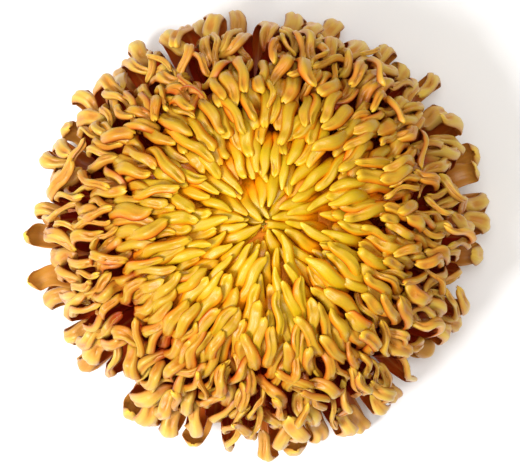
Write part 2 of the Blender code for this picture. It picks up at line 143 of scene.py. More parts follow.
# Settling of the florets against each other: rounds, clear space in millimetres, the share of the width in
# the girth, how much of an overlap a round takes away, and how far up its path a floret is held
SETTLE_ROUNDS = 40
PAIRS_EVERY = 5
CLEARANCE = 0.22
GIRTH = 0.75
PAIR_MARGIN = 0.6
PUSH = 0.65
EASE = 0.99
HELD_ROOT = 0.2
FREE_OVER = 0.3
TINY = 1e-6

# The crown leans east and north between two heights, and the lowest florets stay off the surface below
LEAN = (2.2, 2.4)
LEAN_FROM = 12.0
LEAN_TO = 46.0
FLOOR_GAP = 0.2
DEEPEST = 1.2

# Fine form of each kind at the same places: half of the flat width, and turn of the section in degrees
FORMS = {
    "quill": ((0.8, 1.6, 2.3, 2.7, 2.7, 2.2, 1.5), (230, 150, 130, 190, 225, 235, 240)),
    "drop": ((0.8, 1.8, 2.3, 1.9, 2.2, 2.7, 1.9), (230, 130, 95, 150, 205, 225, 235)),
    "hood": ((0.8, 1.8, 2.5, 2.3, 2.1, 2.6, 2.0), (230, 120, 85, 135, 190, 215, 225)),
    "fold": ((0.8, 1.8, 2.4, 2.1, 1.9, 2.25, 1.8), (230, 120, 90, 160, 215, 215, 205)),
    "strap": ((1.0, 1.9, 2.3, 2.4, 2.45, 2.4, 2.2), (220, 100, 70, 90, 135, 165, 175)),
    "leaf": ((1.0, 2.0, 2.5, 2.8, 2.9, 2.8, 2.4), (220, 110, 90, 95, 120, 160, 185)),
    "bract": ((1.5, 2.0, 2.1, 2.0, 1.5, 0.9, 0.35), (50, 50, 45, 40, 40, 40, 40)),
}
# How each kind varies: keel, twist in degrees, depth of dents and creases, wobble, length and lobes of the
# tip, and the place where its end starts to round
HABITS = {
    "quill": (0.0, 10, 0.15, 0.08, 0.15, 0.5, 0.05, 0.88),
    "drop": (0.0, 22, 0.50, 0.30, 0.28, 0.5, 0.15, 0.962),
    "hood": (0.0, 28, 1.00, 0.45, 0.40, 0.4, 0.25, 0.974),
    "fold": (1.6, 36, 0.80, 0.45, 0.50, 0.4, 0.25, 0.975),
    "strap": (0.0, 12, 0.80, 0.30, 0.30, 0.3, 0.20, 0.955),
    "leaf": (0.0, 8, 0.30, 0.15, 0.25, 0.2, 0.10, 0.925),
    "bract": (0.0, 3, 0.0, 0.0, 0.10, 0.5, 0.0, 0.95),
}
# Values given at the places above are eased over these shifts
EASING = (-0.04, -0.02, 0.0, 0.02, 0.04)
# Blunt end of a floret, as the width of its last ring and how late it narrows, and the least and the
# largest turn of a section
END_WIDTH = 0.42
END_POWER = 3
TURN_LIMITS = (20, 290)

# Rings of a floret stand at its root, where it bends and, closest together, at its tip
TIP_START = 0.76
ROOT_STATIONS = np.linspace(0.0, 0.45, 5)
BEND_STATIONS = np.linspace(0.52, TIP_START, 6)
TIP_STATIONS = TIP_START + (1.0 - TIP_START) * np.sin(np.linspace(0.0, 0.5 * math.pi, 18))[1:]
STATIONS = np.concatenate((ROOT_STATIONS, BEND_STATIONS, TIP_STATIONS))
ACROSS = np.linspace(-1.0, 1.0, 13)

# Spread of size and curl, and where the twist sets in
SIZE_SPREAD = 0.10
CURL_SPREAD = 0.10
TWIST_FROM = 0.5

# Waves near the tip, to the sides, off the back and in the width: how many there are in a length, and how
# strong they are
WAVES_FROM = 0.6
WAVES_OVER = 0.2
FADE = np.clip((STATIONS - WAVES_FROM) / WAVES_OVER, 0.0, 1.0)
SIDE_WAVES = 5.5
BACK_WAVES = 6.5
BACK_SHARE = 0.5
WIDTH_WAVES = 4.0
WIDTH_SHARE = 0.10

# End of the tip: where it starts to draw back, how round it is, and the rate of its lobes
TIP_FROM = 0.88
TIP_ROUND = 0.95
LOBE_RATE = 5.5

# Relief of the back: height in millimetres and rates along and across of two ripples, the ranges of the
# dents, the dimple near the tip, the crease, and how angular the section is
RIPPLES = ((0.07, 14, 3), (0.05, 33, 2))
DENTS = 4
DENT_PLACES = (0.72, 0.96)
DENT_SIDES = (-0.6, 0.6)
DENT_LENGTHS = (0.015, 0.04)
DENT_WIDTHS = (0.2, 0.5)
DIMPLE_PLACES = (0.925, 0.965)
DIMPLE_SIDE = 0.4
DIMPLE_DEPTHS = (0.7, 1.3)
DIMPLE_LENGTH = 0.022
DIMPLE_WIDTH = 0.38
FULL_DENT = 0.5
CREASE_SIDES = (-0.35, 0.35)
CREASE_LEANS = (-2.5, 2.5)
CREASE_PLACE = 0.86
CREASE_WIDTH = 0.16
FACETS = (0.8, 2.0)

# Thickness of a blade at its rib and its edges in millimetres, the share of it that is left at the tip, and
# the length over which it thins
RIB_THICKNESS = 0.5
EDGE_THICKNESS = 0.2
TIP_THICKNESS = 0.55
THIN_OVER = 0.1

# Top of the crown, from its middle to the rim: radius and height
CROWN = (
    (0, 43.5), (8, 46.5), (16, 48), (24, 47), (30, 44), (35.5, 39.5), (40.5, 32.5), (44.5, 25), (48, 17),
    (52, 6),
)
CROWN_SAMPLES = 90

# Turned parts as radius and height: the domed end of the stem, the heart of the head and the green cup
# with its stem
RECEPTACLE = (
    (0.0, 21.0), (3.5, 20.6), (7.0, 18.9), (10.0, 16.0), (12.0, 12.8), (12.7, 10.6), (12.2, 9.3),
    (0.0, 9.2),
)
HEART = (
    (0.0, 39.8), (5.0, 40.3), (10.0, 40.8), (15.0, 39.8), (20.0, 36.8), (24.0, 31.2), (26.3, 25.0),
    (21.3, 18.0), (0.0, 17.0),
)
CUP = (
    (0.0, 9.05), (12.4, 9.05), (13.0, 8.8), (13.1, 8.5), (12.2, 7.7), (10.5, 6.7), (8.4, 5.8), (6.4, 4.9),
    (5.0, 4.1), (4.3, 3.4), (3.9, 2.6), (3.8, 1.6), (3.9, 0.7), (3.95, 0.15), (3.8, 0.0), (0.0, 0.0),
)
# Sides of a turned part, and the ribs of the stem: number, height of their end and depth as a share
CUP_SIDES = 96
STEM_RIBS = 9
STEM_TOP = 3.4
RIB_DEPTH = 0.03
WELD = 1e-7

# Rows of bracts as number, radius at the root and at the tip, and turn as a share of a step. They lie on
# these points of the cup, the last row this far off it and each row before it a layer further. They have
# no place between the centre and the rim of the head, so all have one share.
BRACT_ROWS = ((11, 4.2, 8.8, 0.0), (11, 5.6, 11.4, 0.5), (11, 8.2, 14.0, 0.0))
BRACT_SEAT = CUP[3:10]
BRACT_LIFT = 0.45
BRACT_LAYER = 0.25
BRACT_SHARE = 0.5

# Colours of the petals, each from the centre of the head (0) to its rim (1): the back at the tip and lower
# down (partly its own deeper colour and partly painted shade), painted shade on its flanks and rolled sides
# and on what lies deep in the head, and the inner face
PETAL_COLOURS = {
    "tip": (
        (0.0, (0.54, 0.325, 0.001)), (0.12, (0.53, 0.365, 0.003)), (0.28, (0.46, 0.29, 0.007)),
        (0.45, (0.45, 0.290, 0.016)), (0.68, (0.48, 0.320, 0.028)), (0.87, (0.54, 0.39, 0.060)),
        (1.0, (0.66, 0.49, 0.095)),
    ),
    # Lower down the back takes this deeper colour, partly its own and partly painted shade
    "deep": (
        (0.0, (0.92, 0.36, 0.001)), (0.3, (0.80, 0.16, 0.001)), (0.6, (0.50, 0.03, 0.003)),
        (1.0, (0.46, 0.09, 0.006)),
    ),
    # Painted shade on the flanks of the back, which turn away from the light
    "flank_shade": (
        (0.0, (0.86, 0.35, 0.001)), (0.3, (0.66, 0.18, 0.001)), (0.6, (0.50, 0.11, 0.002)),
        (1.0, (0.55, 0.32, 0.05)),
    ),
    # Painted shade on the rolled sides at the edges of the back, redder and darker than on the flanks
    "under": (
        (0.0, (0.88, 0.20, 0.0)), (0.3, (0.54, 0.042, 0.0)), (0.6, (0.28, 0.010, 0.002)),
        (1.0, (0.42, 0.14, 0.012)),
    ),
    # Painted shade on the back where it lies deep under the top of the crown
    "sunk_shade": (
        (0.0, (0.95, 0.31, 0.0)), (0.28, (0.66, 0.080, 0.0)), (0.6, (0.32, 0.010, 0.002)),
        (0.93, (0.34, 0.022, 0.003)), (1.0, (0.58, 0.34, 0.06)),
    ),
    "inner": (
        (0.0, (0.66, 0.22, 0.002)), (0.45, (0.42, 0.012, 0.003)), (0.85, (0.40, 0.016, 0.005)),
        (1.0, (0.46, 0.13, 0.006)),
    ),
}
PETAL_TINTS = {
    "patch": (0.62, 0.22, 0.03),
    "end": (0.88, 0.56, 0.02),
    # Painted shade in the dents and creases of the back
    "dent": (0.48, 0.13, 0.006),
    "inner_tip": (0.56, 0.31, 0.05),
    "midrib": (0.70, 0.36, 0.07),
    "streak": (0.45, 0.14, 0.01),
    "tone": (1.04, 0.90, 0.8),
}
# Where each colour sets in, where it is full and how strong it then is
PETAL_SPANS = {
    "tip": (0.60, 0.86, 1.0),
    "patch": (0.50, 0.72, 0.28),
    "end": (0.955, 1.0, 0.45),
    # Spans of painted shade: in the dents and creases, on the flanks and rolled sides, and deep in the head
    "dent": (0.2, 0.6, 0.7),
    "flank_shade": (0.33, 0.72, 0.60),
    "under": (0.68, 0.97, 0.8),
    "sunk_shade": (1.4, 5.0, 0.92),
    "inner_tip": (0.62, 0.94, 0.85),
    "midrib": (0.03, 0.16, 0.22),
    "rolled_edge": (0.74, 0.97, 0.8),
    "streak": (0.35, 0.75, 0.30),
    "tone": (0.0, 1.0, 0.22),
}
PATCH_STRENGTH = 0.5
STREAK_STRENGTH = 0.6

# Grain of the petals: rates across and along for each millimetre, scale and detail of each noise, how far
# it moves on from petal to petal, and the part of the cells in the relief
STREAK_GRAIN = (2.4, 0.16)
STREAK_NOISE = (1.0, 3.0)
PATCH_NOISE = (0.42, 2.0)
CELL_GRAIN = (1.0, 0.5)
CELL_NOISE = (7.0, 1.0)
CELL_SHARE = 0.35
TONE_STEP = 90.0

# Roughness and specular level of each surface, strength and distance of its relief, and the light that
# passes through the petals
PETAL_GLOSS = (0.36, 0.34)
PETAL_BUMP = (0.35, 0.00022)
GLOW = 0.12
GLOW_DEPTH = 0.001
GLOW_RADIUS = (1.0, 0.6, 0.2)
BRACT_GLOSS = (0.5, 0.4)
BRACT_BUMP = (0.4, 0.0002)
STEM_GLOSS = (0.55, 0.35)
STEM_BUMP = (0.5, 0.0002)
HEART_GLOSS = (0.6, 0.2)
HEART_BUMP = (0.6, 0.0004)
FLOOR_GLOSS = (0.85, 0.1)

# Colours and grain of the other surfaces. Distances from the axis and heights are metres here.
BRACT_COLOURS = {
    "dark": (0.11, 0.19, 0.035), "light": (0.20, 0.29, 0.07), "margin": (0.42, 0.33, 0.16),
    "tip": (0.36, 0.26, 0.12),
}
BRACT_GRAIN = (3.0, 0.3)
BRACT_MARGIN = (0.62, 0.92, 0.9)
BRACT_TIP = (0.86, 1.0, 0.6)
STEM_COLOURS = {
    "dark": (0.13, 0.21, 0.05), "light": (0.24, 0.33, 0.10), "pith": (0.72, 0.70, 0.52),
    "bark": (0.34, 0.42, 0.18),
}
STEM_STRETCH = 0.2
STEM_NOISE = (1800.0, 3.0)
PITH_EDGE = (0.0022, 0.0030)
CUT_FACE = (0.0, 0.0002)
GREEN_NOISE = (1.0, 3.0)
GREEN_SPAN = (0.3, 0.7)
HEART_COLOURS = ((0.90, 0.28, 0.001), (0.36, 0.010, 0.005))
HEART_EDGE = (0.012, 0.024)
FINE_NOISE = (900.0, 2.0)
FLOOR_COLOURS = ((0.905, 0.92, 0.95), (0.915, 0.93, 0.96))

# Studio, in metres and watts: lamps as name, place, width, power and colour
FLOOR_CORNERS = ((-3, -3, 0), (3, -3, 0), (3, 3, 0), (-3, 3, 0))
SKY_COLOUR = (1.0, 0.91, 0.79, 1.0)
SKY_STRENGTH = 0.56
LAMPS = (
    ("key", (-0.32, -0.20, 0.50), 0.20, 4.4, (1.0, 0.99, 0.98)),
    ("top", (0.05, 0.1, 0.9), 0.35, 3.7, (0.98, 1.0, 1.0)),
)
LAMP_TARGET = (0, 0, 0.02)
CAMERA_PLACE = (0.0008, -0.0004, 0.547)
CAMERA_LENS = 170


def family_value(name, share):
    """Value of one row of the families at a share between the centre and the rim."""
    return float(np.interp(share, FAMILIES["share"], FAMILIES[name]))


def bezier(start, start_angle, end, end_angle, t):
    """Points of a curve that leaves one point and arrives at another in given directions."""
    handle = HANDLE * np.linalg.norm(end - start)
    near = start + handle * np.array((math.cos(start_angle), math.sin(start_angle)))
    far = end - handle * np.array((math.cos(end_angle), math.sin(end_angle)))
    return (1 - t) ** 3 * start + 3 * (1 - t) ** 2 * t * near + 3 * (1 - t) * t**2 * far + t**3 * end


def family_path(share, changes):
    """Radius and height of evenly spaced points on the path of one floret."""
    value = {name: family_value(name, share) + changes.get(name, 0.0) for name in FAMILIES}
    joints = ("root", "bend", "tip")
    places = [np.array((value[f"{joint}_radius"], value[f"{joint}_height"])) for joint in joints]
    angles = [math.radians(value[f"{joint}_angle"]) for joint in joints]
    t = np.linspace(0.0, 1.0, CURVE_SAMPLES)[:, None]
    lower = bezier(places[0], angles[0], places[1], angles[1], t)
    upper = bezier(places[1], angles[1], places[2], angles[2], t)
    curve = np.concatenate((lower, upper[1:]))
    steps = np.linalg.norm(np.diff(curve, axis=0), axis=1)
    length = np.concatenate(((0.0,), np.cumsum(steps)))
    wanted = np.linspace(0.0, length[-1], PATH_NODES)
    return np.stack([np.interp(wanted, length, curve[:, axis]) for axis in (0, 1)], axis=1)


def turned_steps(points, degrees, start, end):
    """Points whose steps turn by an angle that grows from one place along them to another."""
    steps = np.diff(points, axis=0)
    along = np.linspace(0.0, 1.0, len(steps))
    turn = np.radians(degrees) * np.clip((along - start) / (end - start), 0.0, 1.0)
    turned = steps.copy()
    turned[:, 0] = steps[:, 0] * np.cos(turn) - steps[:, 1] * np.sin(turn)
    turned[:, 1] = steps[:, 0] * np.sin(turn) + steps[:, 1] * np.cos(turn)
    return np.concatenate((points[:1], points[0] + np.cumsum(turned, axis=0)))


def rim_changes(reach, height, angle):
    """What sets a long floret of the rim apart from its family."""
    if angle < OPEN_UNDER:
        wanted = {
            "bend_radius": reach - OPEN_LENGTH,
            "bend_height": height - OPEN_RISE,
            "bend_angle": OPEN_BEND,
            "tip_radius": reach + OPEN_REACH,
        }
    else:
        wanted = {
            "bend_radius": reach,
            "bend_height": height - RIM_RISE,
            "tip_radius": reach - RIM_CURL,
        }
    wanted.update({"tip_height": height, "tip_angle": angle})
    return {name: value - family_value(name, RIM_SHARE) for name, value in wanted.items()}


def spiral_changes(reach, rise, curl, aim):
    """What sets a floret of the spiral apart from its family."""
    return {
        "bend_radius": SPREAD["reach"] * reach,
        "bend_height": SPREAD["rise"] * rise,
        "tip_radius": SPREAD["reach"] * reach + SPREAD["curl"] * curl,
        "tip_height": SPREAD["rise"] * rise,
        "tip_angle": SPREAD["aim"] * aim,
    }


def floret_kind(share, draw):
    """Kind of a floret, from its place in the head and a draw between 0 and 1."""
    if share < QUILLS_END:
        return "quill"
    if share > STRAPS_START:
        return "strap"
    mixed = (share - MIXED_FROM) / (DROPS_END - MIXED_FROM)
    if draw > mixed:
        return "drop"
    return "hood" if draw < HOODED_SHARE * min(mixed, 1.0) else "fold"


def sway_wave(east, north):
    """Lean shared by florets that stand together, from -1.6 to 1.6."""
    broad = math.sin(BROAD_EAST[0] * east + BROAD_EAST[1])
    broad *= math.cos(BROAD_NORTH[0] * north + BROAD_NORTH[1])
    fine = math.sin(FINE_WAVE[0] * east + FINE_WAVE[1] * north + FINE_WAVE[2])
    return broad + FINE_SHARE * fine


def plan_florets():
    """Kind, share, azimuth, path, half widths and half depths of every floret before they settle."""
    rng = np.random.default_rng(SEED)
    along = np.linspace(0.0, 1.0, PATH_NODES)
    ramp = np.clip((along - SWAY_FROM) / (1.0 - SWAY_FROM), 0.0, 1.0) ** SWAY_POWER
    spiral_count = FLORET_COUNT - len(RIM_FLORETS)
    florets = []
    for index in range(FLORET_COUNT):
        reach, rise, aim, curl, turn, lean, kink = rng.normal(0.0, 1.0, 7)
        kind_draw = rng.random()
        if index < spiral_count:
            share = ((index + 0.5) / spiral_count) ** SPIRAL_POWER * SPIRAL_END
            azimuth = math.radians(index * GOLDEN_ANGLE + SPREAD["azimuth"] * turn)
            freedom = 1.0
            kind = floret_kind(share, kind_draw)
            changes = spiral_changes(reach, rise, curl, aim)
        else:
            share = RIM_SHARE
            degrees, bend, height, angle = RIM_FLORETS[index - spiral_count]
            kind = "leaf" if angle < OPEN_UNDER else "strap"
            azimuth = math.radians(degrees)
            freedom = RIM_STILL
            changes = rim_changes(bend, height, angle)
        widths, depths, hook = KINDS[kind]
        path = family_path(share, changes)
        path = turned_steps(path, hook * (1.0 + SPREAD["hook"] * aim), HOOK_FROM, HOOK_TO)
        radius, height = np.maximum(path[:, 0], 0.0), path[:, 1]
        wave = sway_wave(radius[-1] * math.cos(azimuth), radius[-1] * math.sin(azimuth))
        sway = freedom * family_value("sway", share) * (wave + SPREAD["sway"] * lean)
        heading = azimuth + sway * ramp / np.maximum(radius, SWAY_CORE)
        points = np.stack((radius * np.cos(heading), radius * np.sin(heading), height), axis=1)
        side_kink = freedom * family_value("kink", share) * (WAVE_KINK * wave + kink)
        florets.append({
            "kind": kind,
            "share": share,
            "azimuth": azimuth,
            "points": turned_steps(points, side_kink, KINK_FROM, KINK_TO),
            "width": np.interp(along, PLACES, widths),
            "depth": np.interp(along, PLACES, depths),
        })
    return florets


def neighbour_pairs(points, owner, reach):
    """Pairs of path points of different florets that are near each other."""
    tree = kdtree.KDTree(len(points))
    for index, point in enumerate(points):
        tree.insert(point, index)
    tree.balance()
    pairs = []
    for index, point in enumerate(points):
        for _, other, _ in tree.find_range(point, reach):
            if other > index and owner[other] != owner[index]:
                pairs.append((index, other))
    return np.array(pairs).T


def settle(florets):
    """Push florets that touch apart, with their roots held and their curves kept smooth."""
    rest = np.stack([floret["points"] for floret in florets])
    size = [GIRTH * floret["width"] + (1.0 - GIRTH) * floret["depth"] for floret in florets]
    size = np.concatenate(size)
    count, nodes, _ = rest.shape
    owner = np.repeat(np.arange(count), nodes)
    along = np.linspace(0.0, 1.0, nodes)
    free = np.clip((along - HELD_ROOT) / FREE_OVER, 0.0, 1.0)[:, None]
    shift = np.zeros_like(rest)
    for turn in range(SETTLE_ROUNDS):
        now = (rest + shift).reshape(-1, 3)
        if turn % PAIRS_EVERY == 0:
            firsts, seconds = neighbour_pairs(now, owner, 2 * size.max() + PAIR_MARGIN)
        gap = now[seconds] - now[firsts]
        distance = np.linalg.norm(gap, axis=1)
        overlap = np.clip(size[firsts] + size[seconds] + CLEARANCE - distance, 0.0, None)
        push = (PUSH * overlap / np.maximum(distance, TINY))[:, None] * gap
        moved = np.zeros_like(now)
        hits = np.ones((len(now), 1))
        touching = (overlap > 0)[:, None]
        np.add.at(moved, firsts, -push)
        np.add.at(moved, seconds, push)
        np.add.at(hits, firsts, touching)
        np.add.at(hits, seconds, touching)
        moved = moved / hits
        shift = shift + moved.reshape(rest.shape) * free
        smooth = shift.copy()
        smooth[:, 1:-1] = (shift[:, :-2] + 2 * shift[:, 1:-1] + shift[:, 2:]) / 4
        smooth[:, -1] = (shift[:, -2] + 2 * shift[:, -1]) / 3
        shift = EASE * smooth * free
    for floret, points in zip(florets, rest + shift):
        lowest = FLOOR_GAP + DEEPEST * floret["depth"]
        points[:, 2] = np.maximum(points[:, 2], lowest)
        floret["points"] = points


def leaned(points):
    """Points moved sideways with the lean of the crown."""
    points = np.array(points, dtype=float)
    rise = np.clip((points[..., 2] - LEAN_FROM) / (LEAN_TO - LEAN_FROM), 0.0, None)
    points[..., 0] += LEAN[0] * rise
    points[..., 1] += LEAN[1] * rise
    return points


def smooth_path(points, places):
    """Points of a Catmull-Rom curve through evenly spaced points, at places from 0 to 1."""
    count = len(points)
    padded = np.concatenate((2 * points[:1] - points[1:2], points, 2 * points[-1:] - points[-2:-1]))
    position = np.clip(places, 0.0, 1.0) * (count - 1)
    first = np.minimum(position.astype(int), count - 2)
    t = (position - first)[:, None]
    p0, p1, p2, p3 = (padded[first + step] for step in range(4))
    return 0.5 * (2 * p1 + (p2 - p0) * t + (2 * p0 - 5 * p1 + 4 * p2 - p3) * t**2
                  + (3 * p1 - p0 - 3 * p2 + p3) * t**3)


def path_frames(points, azimuth):
    """Directions along, across and out of the back at every point of a floret's path."""
    along = np.gradient(points, axis=0)
    along /= np.linalg.norm(along, axis=1)[:, None]
    across = np.array((-math.sin(azimuth), math.cos(azimuth), 0.0))
    sides = []
    for direction in along:
        across = across - direction * np.dot(across, direction)
        across /= np.linalg.norm(across)
        sides.append(across)
    sides = np.array(sides)
    return along, sides, np.cross(sides, along)


def eased(places, values):
    """Values given at the named places of a floret, eased from one to the next."""
    return np.mean([np.interp(places + shift, PLACES, values) for shift in EASING], axis=0)


def section(turn, keel, facets):
    """Places across the width of a folded section and the direction of its outer face there."""
    spread = ACROSS if keel == 0 else np.tanh(keel * ACROSS) / math.tanh(keel)
    spread = spread - facets * np.sin(3 * math.pi * ACROSS) / (3 * math.pi)
    angle = 0.5 * np.radians(turn)[:, None] * spread
    step = ACROSS[1] - ACROSS[0]
    middle = 0.5 * (angle[:, 1:] + angle[:, :-1])
    x = np.concatenate((np.zeros((len(turn), 1)), np.cumsum(np.cos(middle) * step, axis=1)), axis=1)
    y = np.concatenate((np.zeros((len(turn), 1)), np.cumsum(-np.sin(middle) * step, axis=1)), axis=1)
    x -= 0.5 * (x[:, :1] + x[:, -1:])
    y -= y.mean(axis=1)[:, None]
    return x, y, angle


def depth_in_crown(points):
    """How far points lie inside the top of the crown; less than nothing outside it."""
    radii, heights = np.array(CROWN, dtype=float).T
    steps = np.linspace(0, len(CROWN) - 1, CROWN_SAMPLES)
    crown = np.stack([np.interp(steps, range(len(CROWN)), values) for values in (radii, heights)], axis=1)
    flat = np.stack((np.hypot(points[..., 0], points[..., 1]), points[..., 2]), axis=-1)
    distance = np.linalg.norm(flat[..., None, :] - crown, axis=-1).min(axis=-1)
    outside = flat[..., 1] > np.interp(flat[..., 0], radii, heights)
    return np.where(outside, -distance, distance)


def draw_dents(depth, rng):
    """Place, side, depth, length and width of the dents in a floret's back; the first is near its tip."""
    places = rng.uniform(*DENT_PLACES, DENTS)
    sides = rng.uniform(*DENT_SIDES, DENTS)
    depths = depth * rng.uniform(0.0, 1.0, DENTS)
    lengths = rng.uniform(*DENT_LENGTHS, DENTS)
    widths = rng.uniform(*DENT_WIDTHS, DENTS)
    places[0] = rng.uniform(*DIMPLE_PLACES)
    sides[0] *= DIMPLE_SIDE
    depths[0] = depth * rng.uniform(*DIMPLE_DEPTHS)
    lengths[0] = DIMPLE_LENGTH
    widths[0] = DIMPLE_WIDTH
    return tuple(zip(places, sides, depths, lengths, widths))


def draw_chances(twist, dent, rng):
    """What sets a floret apart from others of its kind."""
    return {
        "size": 1.0 + SIZE_SPREAD * rng.normal(),
        "curl": 1.0 + CURL_SPREAD * rng.normal(),
        "spin": math.radians(twist) * rng.normal(),
        "phase": rng.uniform(0.0, 2 * math.pi, 5),
        "dents": draw_dents(dent, rng),
        "crease_side": rng.uniform(*CREASE_SIDES),
        "crease_lean": rng.uniform(*CREASE_LEANS),
        "facets": rng.uniform(*FACETS),
        "tone": rng.uniform(0.0, 1.0),
    }


def waves(number, phase):
    """A number of waves in the length of a floret, at every station."""
    return np.sin(2 * math.pi * number * STATIONS + phase)


def wavy_path(points, azimuth, wobble, spin_end, phase):
    """Points of a floret's path with waves near the tip, and its directions along, across and back."""
    along, across, back = path_frames(points, azimuth)
    sideways = wobble * FADE * waves(SIDE_WAVES, phase[0])
    lifted = BACK_SHARE * wobble * FADE * waves(BACK_WAVES, phase[4])
    points = points + across * sideways[:, None] + back * lifted[:, None]
    spin = spin_end * np.clip((STATIONS - TWIST_FROM) / (1.0 - TWIST_FROM), 0.0, 1.0)
    cosine, sine = np.cos(spin)[:, None], np.sin(spin)[:, None]
    return points, along, across * cosine + back * sine, back * cosine - across * sine


def half_widths(widths, size, round_from, phase):
    """Half of a floret's flat width at every station, with its waves and its blunt end."""
    half = eased(STATIONS, widths) * size
    half = half * (1.0 + WIDTH_SHARE * FADE * waves(WIDTH_WAVES, phase))
    rounded = np.clip((STATIONS - round_from) / (1.0 - round_from), 0.0, 1.0)
    return half * np.sqrt(1.0 - (1.0 - END_WIDTH**2) * rounded**END_POWER)


def ripple_heights(phases):
    """Height of the ripples at every point of a floret's back."""
    heights = np.zeros((len(STATIONS), len(ACROSS)))
    for (height, along_rate, across_rate), phase in zip(RIPPLES, phases):
        heights += height * np.sin(along_rate * STATIONS[:, None] + across_rate * ACROSS + phase)
    return heights


def hollow_depths(dents, crease, crease_side, crease_lean):
    """Depth of the dents and of the crease at every point of a floret's back."""
    place = STATIONS[:, None]
    hollow = np.zeros((len(STATIONS), len(ACROSS)))
    for at, side, depth, length, width in dents:
        hollow += depth * np.exp(-((place - at) / length) ** 2 - ((ACROSS - side) / width) ** 2)
    off_crease = np.abs(ACROSS - crease_side - crease_lean * (place - CREASE_PLACE))
    return hollow + crease * FADE[:, None] * np.exp(-off_crease / CREASE_WIDTH)


def tip_retreat(tip_length, lobes, phase):
    """How far each point of a floret's tip draws back, so that the tip is round and lobed."""
    tip = np.clip((STATIONS[:, None] - TIP_FROM) / (1.0 - TIP_FROM), 0.0, 1.0) ** 2
    rounding = tip_length * (1 - np.sqrt(1 - TIP_ROUND * ACROSS**2))
    return tip * (rounding + lobes * np.cos(LOBE_RATE * ACROSS + phase))


def blade_thickness():
    """Thickness of a floret's blade at every point, which thins to the edges and the tip."""
    thickness = EDGE_THICKNESS + (RIB_THICKNESS - EDGE_THICKNESS) * (1 - np.abs(ACROSS) ** 3)
    left = np.clip((1 - STATIONS[:, None]) / THIN_OVER, 0.0, 1.0)
    return thickness * (TIP_THICKNESS + (1.0 - TIP_THICKNESS) * left)


def point_facts(half, length, share, hollow, tone):
    """Facts of both faces of a blade: place and tone, place in millimetres with the share, and dents, which
    the material darkens with painted shade.
    """
    shape = (len(STATIONS), 2 * len(ACROSS))
    outer, inner = slice(0, len(ACROSS)), slice(len(ACROSS), None)
    facts = np.zeros(shape + (4,))
    facts[..., 0] = STATIONS[:, None]
    facts[:, outer, 1] = ACROSS
    facts[:, inner, 1] = ACROSS[::-1]
    facts[:, inner, 2] = 1.0
    facts[..., 3] = tone
    place_mm = np.zeros(shape + (3,))
    place_mm[..., 0] = facts[..., 1] * half[:, None]
    place_mm[..., 1] = facts[..., 0] * length
    place_mm[..., 2] = share
    dent_shade = np.zeros(shape)
    dent_shade[:, outer] = np.clip(hollow / FULL_DENT, 0.0, 1.0)
    return facts, place_mm, dent_shade


def floret_surface(floret, rng):
    """Rings of points of a floret's closed thin blade, with facts for its colour at each point."""
    widths, turns = FORMS[floret["kind"]]
    keel, twist, dent, crease, wobble, tip_length, lobes, round_from = HABITS[floret["kind"]]
    chance = draw_chances(twist, dent, rng)
    phase = chance["phase"]
    smooth = smooth_path(floret["points"], STATIONS)
    length = np.linalg.norm(np.diff(smooth, axis=0), axis=1).sum()
    points, along, across, back = wavy_path(smooth, floret["azimuth"], wobble, chance["spin"], phase)
    half = half_widths(widths, chance["size"], round_from, phase[3])
    turn = np.clip(eased(STATIONS, turns) * chance["curl"], *TURN_LIMITS)
    x, y, angle = section(turn, keel, chance["facets"])
    hollow = hollow_depths(chance["dents"], crease, chance["crease_side"], chance["crease_lean"])

    along, across, back = along[:, None], across[:, None], back[:, None]
    outward = across * np.sin(angle)[..., None] + back * np.cos(angle)[..., None]
    x = x * half[:, None]
    y = y * half[:, None]
    relief = ripple_heights(phase[1:3]) - hollow
    retreat = tip_retreat(tip_length, lobes, phase[3])
    middle = points[:, None] + across * x[..., None] + back * y[..., None]
    outer = middle + outward * relief[..., None] - along * retreat[..., None]
    inner = outer - outward * blade_thickness()[..., None]
    rings = np.concatenate((outer, inner[:, ::-1]), axis=1)
    facts, place_mm, dent_shade = point_facts(half, length, floret["share"], hollow, chance["tone"])
    return leaned(rings), facts, place_mm, dent_shade, depth_in_crown(rings)


def ring_faces(stations, loop, start):
    """Quads of a tube of rings, with its two flat ends closed by strips."""
    row = np.arange(stations - 1)[:, None] * loop
    column = np.arange(loop)[None, :]
    following = (column + 1) % loop
    sides = np.stack((row + column, row + following, row + loop + following, row + loop + column), axis=-1)
    half = loop // 2
    left = np.arange(half - 1)
    right = loop - 1 - left
    first = np.stack((left, right, right - 1, left + 1), axis=-1)
    last = np.stack((left, left + 1, right - 1, right), axis=-1) + (stations - 1) * loop
    return np.concatenate((sides.reshape(-1, 4), first, last)) + start


def mesh_from(name, points, quads, facts, places, dents, depths):
    """Mesh of quads in metres with the facts that its material reads."""
    mesh = bpy.data.meshes.new(name)
    mesh.vertices.add(len(points))
    mesh.vertices.foreach_set("co", (points * MM).astype(np.float32).reshape(-1))
    mesh.loops.add(quads.size)
    mesh.loops.foreach_set("vertex_index", quads.astype(np.int32).reshape(-1))
    mesh.polygons.add(len(quads))
    mesh.polygons.foreach_set("loop_start", np.arange(0, quads.size, 4, dtype=np.int32))
    mesh.update(calc_edges=True)
    mesh.validate()
    colour = mesh.attributes.new("petal", "FLOAT_COLOR", "POINT")
    colour.data.foreach_set("color", facts.astype(np.float32).reshape(-1))
    vector = mesh.attributes.new("petal_place", "FLOAT_VECTOR", "POINT")
    vector.data.foreach_set("vector", places.astype(np.float32).reshape(-1))
    # How dented and how deep in the head each point is, for the painted shade of the petals
    for fact, numbers in (("petal_dent_shade", dents), ("petal_depth", depths)):
        value = mesh.attributes.new(fact, "FLOAT", "POINT")
        value.data.foreach_set("value", numbers.astype(np.float32))
    mesh.shade_smooth()
    return mesh


def add_piece(name, mesh, material):
    """Object of a mesh that moves with the head."""
    mesh.materials.append(material)
    piece = bpy.data.objects.new(name, mesh)
    bpy.context.scene.collection.objects.link(piece)
    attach(piece, "root")
    return piece


